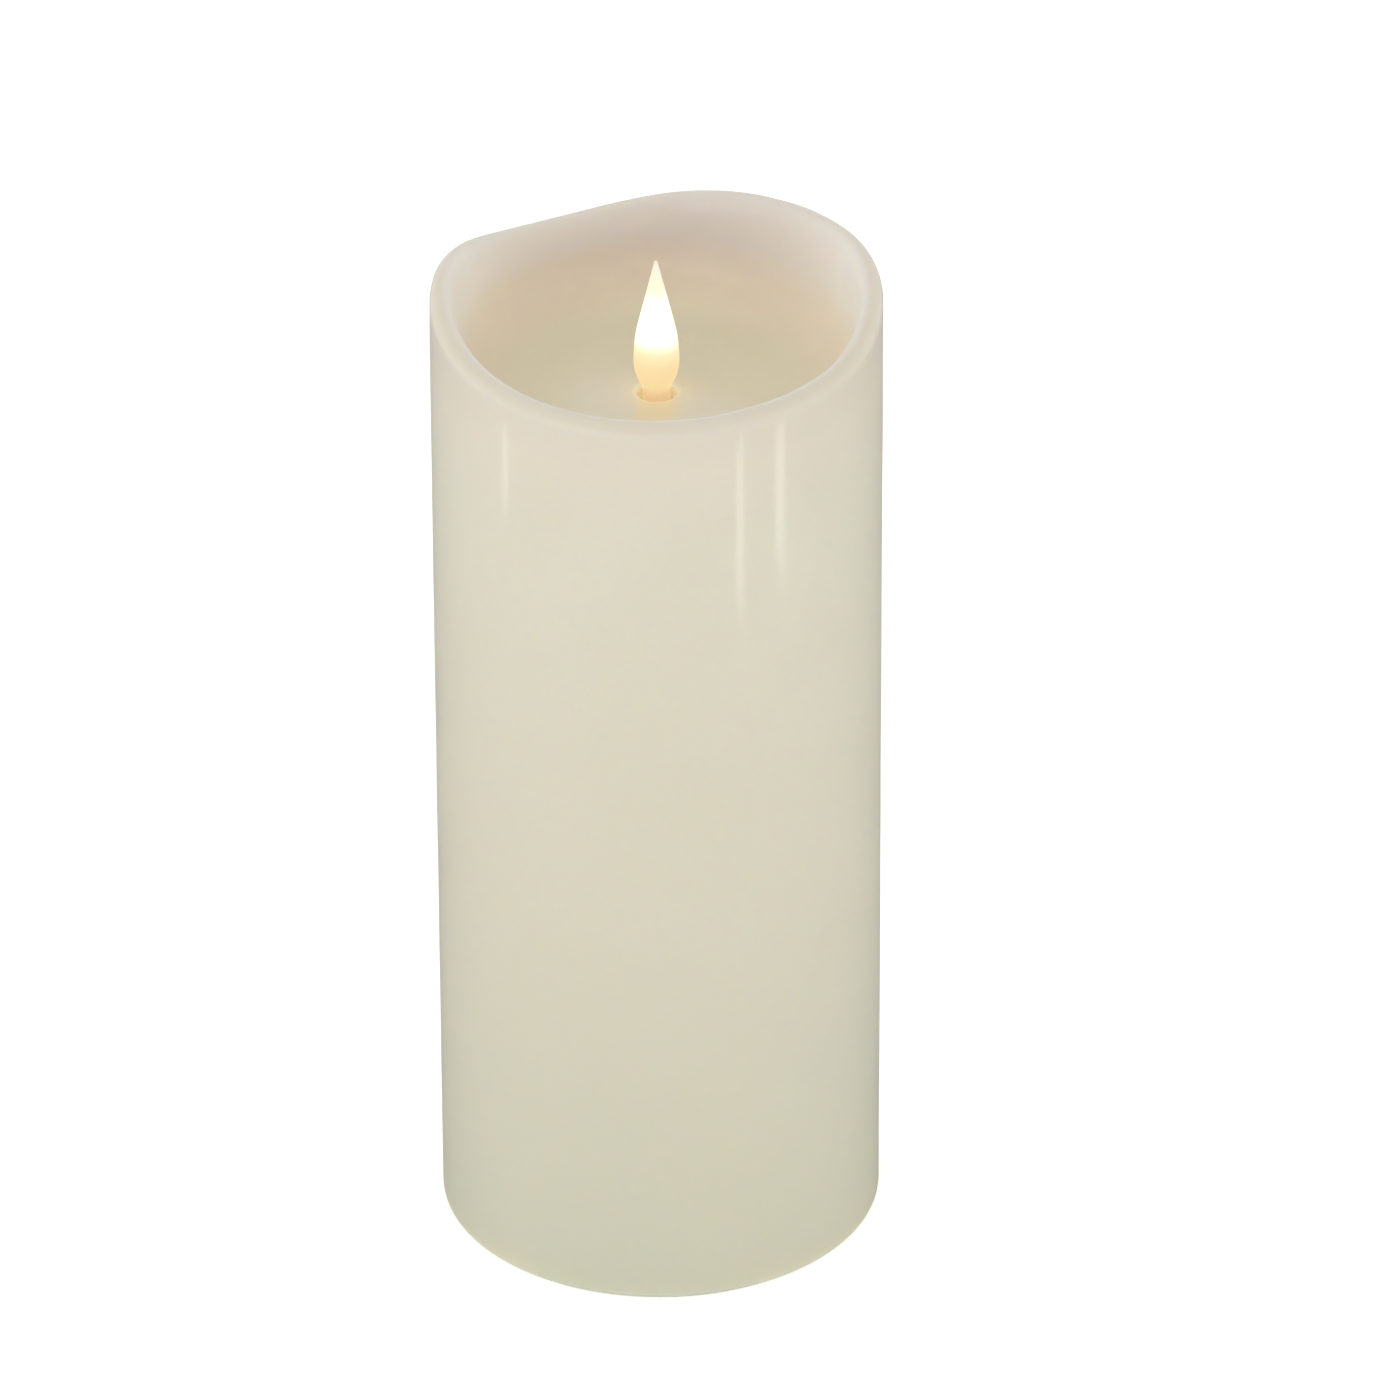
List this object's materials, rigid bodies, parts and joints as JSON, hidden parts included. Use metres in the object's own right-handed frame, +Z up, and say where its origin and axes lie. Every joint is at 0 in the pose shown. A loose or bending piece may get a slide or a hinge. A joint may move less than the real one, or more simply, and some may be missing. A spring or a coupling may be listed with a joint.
{
  "type": "flameless led candle",
  "caption": "Flameless pillar candle: ivory wax shell with a melted wavy rim and shallow well, a lit press-down flame, and a plastic core with a battery tray and hinged door in its base.",
  "frame": {"origin": "middle of the wax ring's underside, on the surface that the candle stands on", "axes": "+Z up along the candle's axis, -Y towards the low side of the rim, +X to the right of it"},
  "size_m": [0.076, 0.076, 0.1824],
  "materials": {
    "wax": "ivory paraffin wax, cast and hand-melted at the rim, soft satin sheen",
    "flame": "translucent warm white moulding, satin, lit from inside",
    "lamp_lens": "warm white lamp, clear nose",
    "core_plastic": "ivory moulded plastic",
    "tray_plastic": "ivory moulded plastic, finely textured",
    "guide_plastic": "natural acetal, satin",
    "steel": "zinc plated",
    "spring_steel": "nickel plated spring wire",
    "contact_metal": "nickel plated strip",
    "cell_jacket": "plain dark printed jacket, satin",
    "board": "green solder mask, satin",
    "dark_plastic": "black moulded plastic",
    "switch_shell": "dark moulded plastic",
    "resistor_body": "thick film on ceramic",
    "glue": "hot-melt glue, translucent",
    "wire_red": "vinyl insulation",
    "wire_black": "vinyl insulation",
    "wire_yellow": "vinyl insulation",
    "wire_white": "vinyl insulation"
  },
  "bodies": {
    "candle": {"wax_shell": "wax", "guide_bush": "guide_plastic", "return_spring": "spring_steel", "core_housing": "core_plastic", "tray_screws": "steel", "board_screws": "steel", "control_board": "board", "push_switch_body": "dark_plastic", "timer_chip": "dark_plastic", "capacitor": "dark_plastic", "resistors": "resistor_body", "wire_connector": "guide_plastic", "glue_ring": "glue", "battery_tray": "tray_plastic", "door_hinge_pin": "steel", "left_battery": "cell_jacket", "right_battery": "cell_jacket", "positive_contact": "contact_metal", "negative_contact": "contact_metal", "negative_spring": "spring_steel", "slide_switch_body": "switch_shell", "slide_screws": "steel", "battery_wire_red": "wire_red", "battery_wire_black": "wire_black", "switch_wire_yellow": "wire_yellow", "switch_wire_white": "wire_white", "lamp_lead_front": "wire_yellow", "lamp_lead_back": "wire_white"},
    "flame": {"flame_tip": "flame", "flame_plunger": "guide_plastic", "led_lamp": "lamp_lens"},
    "push_button": {"push_switch_button": "guide_plastic"},
    "battery_door": {"battery_door": "tray_plastic", "bridge_contact": "contact_metal", "door_spring": "spring_steel"},
    "mode_knob": {"slide_switch_knob": "dark_plastic"}
  },
  "joints": [
    {"name": "flame_press", "type": "slide", "parent": "candle", "child": "flame", "axis": [0, 0, -1], "range_m": [0, 0.0015], "stiffness_N_per_m": 350, "springref_m": -0.002, "deforming": ["return_spring", "lamp_lead_front", "lamp_lead_back"]},
    {"name": "switch_press", "type": "slide", "parent": "candle", "child": "push_button", "axis": [0, 0, -1], "range_m": [0, 0.0015]},
    {"name": "mode_slide", "type": "slide", "parent": "candle", "child": "mode_knob", "axis": [1, 0, 0], "range_m": [-0.002, 0.002]},
    {"name": "door_hinge", "type": "hinge", "parent": "candle", "child": "battery_door", "pos_m": [0, 0.0211, 0.0025], "axis": [1, 0, 0], "range_deg": [0, 100]}
  ],
  "couplings": [
    {"joint": "switch_press", "follows": "flame_press", "ratio": 1}
  ]
}
